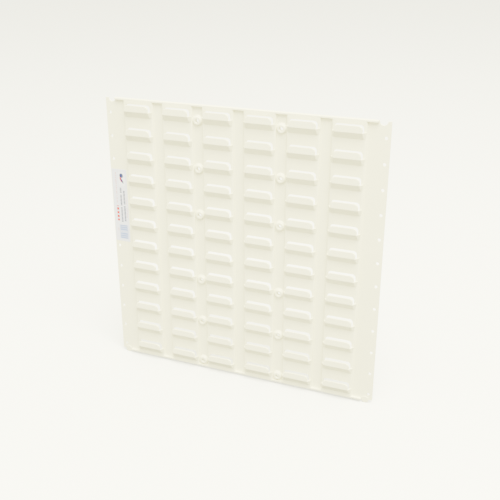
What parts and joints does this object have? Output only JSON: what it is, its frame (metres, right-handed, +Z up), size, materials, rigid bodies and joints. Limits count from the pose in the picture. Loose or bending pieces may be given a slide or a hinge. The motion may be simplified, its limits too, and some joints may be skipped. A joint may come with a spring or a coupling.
{
  "type": "louvre panel",
  "caption": "Moulded plastic wall panel with rows of louvre hooks for hanging storage bins, screw bosses and stacking tabs.",
  "frame": {"origin": "middle of the flat back face that lies on the wall", "axes": "+X to the right seen from the front, +Y into the wall, +Z up; the front faces -Y"},
  "size_m": [0.4572, 0.0133, 0.4595],
  "materials": {
    "panel_plastic": "ivory, fine satin moulded",
    "label_paper": "smooth printed paper"
  },
  "bodies": {
    "root": {"louvre_panel": "panel_plastic", "label": "label_paper"}
  },
  "joints": []
}
